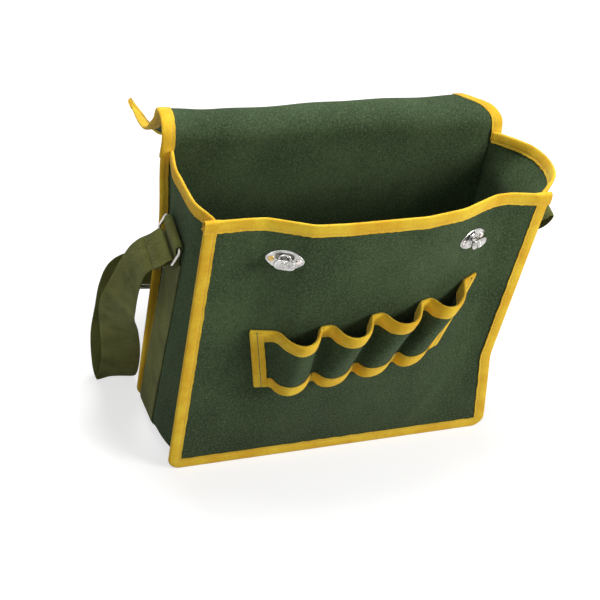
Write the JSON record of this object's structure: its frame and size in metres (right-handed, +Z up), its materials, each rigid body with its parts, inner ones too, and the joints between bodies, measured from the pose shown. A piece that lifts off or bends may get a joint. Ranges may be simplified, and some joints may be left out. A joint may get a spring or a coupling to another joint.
{
  "type": "tool bag",
  "caption": "Open-mouthed canvas shoulder bag for tools, with bound seams, a row of tool loops, turn locks, side rings, a webbing strap and a flap that closes over the front.",
  "frame": {"origin": "on the floor under the middle of the carrying webbing", "axes": "X along the bag, -Y towards the front with the tool loops, +Z up"},
  "size_m": [0.4316, 0.3167, 0.3176],
  "materials": {
    "canvas": "matt woven cotton canvas, dark olive green",
    "binding": "ribbed woven tape, golden yellow",
    "webbing": "herringbone woven webbing, olive",
    "ring_wire": "polished nickel wire",
    "lock_metal": "polished nickel plate",
    "back_metal": "plain steel plate",
    "rivet_metal": "polished brass",
    "slider_metal": "satin steel wire"
  },
  "bodies": {
    "bag": {"front_panel": "canvas", "back_panel": "canvas", "gusset_strip": "canvas", "front_binding": "binding", "back_binding": "binding", "front_rim_binding": "binding", "gusset_rim_binding_left": "binding", "gusset_rim_binding_right": "binding", "tool_loop_band": "canvas", "tool_loop_top_binding": "binding", "tool_loop_bottom_binding": "binding", "tool_loop_end_binding_left": "binding", "tool_loop_end_binding_right": "binding", "load_strap": "webbing", "ring_tab_left": "webbing", "ring_tab_right": "webbing", "strap_lead_left": "webbing", "strap_lead_right": "webbing", "shoulder_strap": "webbing", "lock_plate_left": "lock_metal", "lock_plate_right": "lock_metal", "lock_back_plate_left": "back_metal", "lock_back_plate_right": "back_metal", "lock_rivets": "rivet_metal", "lock_post_left": "lock_metal", "lock_post_right": "lock_metal", "flap_roll_cloth": "canvas", "flap_roll_bindings": "binding"},
    "ring_left": {"side_ring_left": "ring_wire", "strap_end_left": "webbing"},
    "ring_right": {"side_ring_right": "ring_wire", "strap_end_right": "webbing"},
    "slider": {"strap_slider": "slider_metal"},
    "knob_left": {"lock_knob_left": "lock_metal"},
    "knob_right": {"lock_knob_right": "lock_metal"},
    "flap_top": {"flap_top_cloth": "canvas", "flap_top_bindings": "binding"},
    "flap_front": {"flap_front_cloth": "canvas", "flap_front_binding": "binding", "eyelet_plates_front": "lock_metal", "eyelet_plates_back": "back_metal"}
  },
  "joints": [
    {"name": "flap_fold", "type": "hinge", "parent": "bag", "child": "flap_top", "pos_m": [0, 0.03992, 0.31434], "axis": [1, 0, 0], "range_deg": [0, 218], "deforming": ["flap_roll_cloth", "flap_roll_bindings"]},
    {"name": "flap_front_fold", "type": "hinge", "parent": "flap_top", "child": "flap_front", "pos_m": [0, 0.1406, 0.25134], "axis": [1, 0, 0], "range_deg": [0, 90]},
    {"name": "lock_left_turn", "type": "hinge", "parent": "bag", "child": "knob_left", "pos_m": [-0.094, -0.0877, 0.25], "axis": [-0.3911, -0.9203, 0], "range_deg": [0, 90]},
    {"name": "lock_right_turn", "type": "hinge", "parent": "bag", "child": "knob_right", "pos_m": [0.094, -0.0827, 0.25], "axis": [0.3911, -0.9203, 0], "range_deg": [0, 90]},
    {"name": "ring_left_swing", "type": "hinge", "parent": "bag", "child": "ring_left", "pos_m": [-0.1738, -0.0189, 0.238], "axis": [0, 0.9703, 0.2419], "range_deg": [0, 30], "deforming": ["strap_lead_left"]},
    {"name": "ring_right_swing", "type": "hinge", "parent": "bag", "child": "ring_right", "pos_m": [0.1738, -0.0189, 0.238], "axis": [0, -0.9703, -0.2419], "range_deg": [-35, 30], "deforming": ["strap_lead_right"]},
    {"name": "slider_slide", "type": "slide", "parent": "bag", "child": "slider", "axis": [0.9969, -0.0554, -0.0554], "range_m": [0, 0.036]}
  ]
}
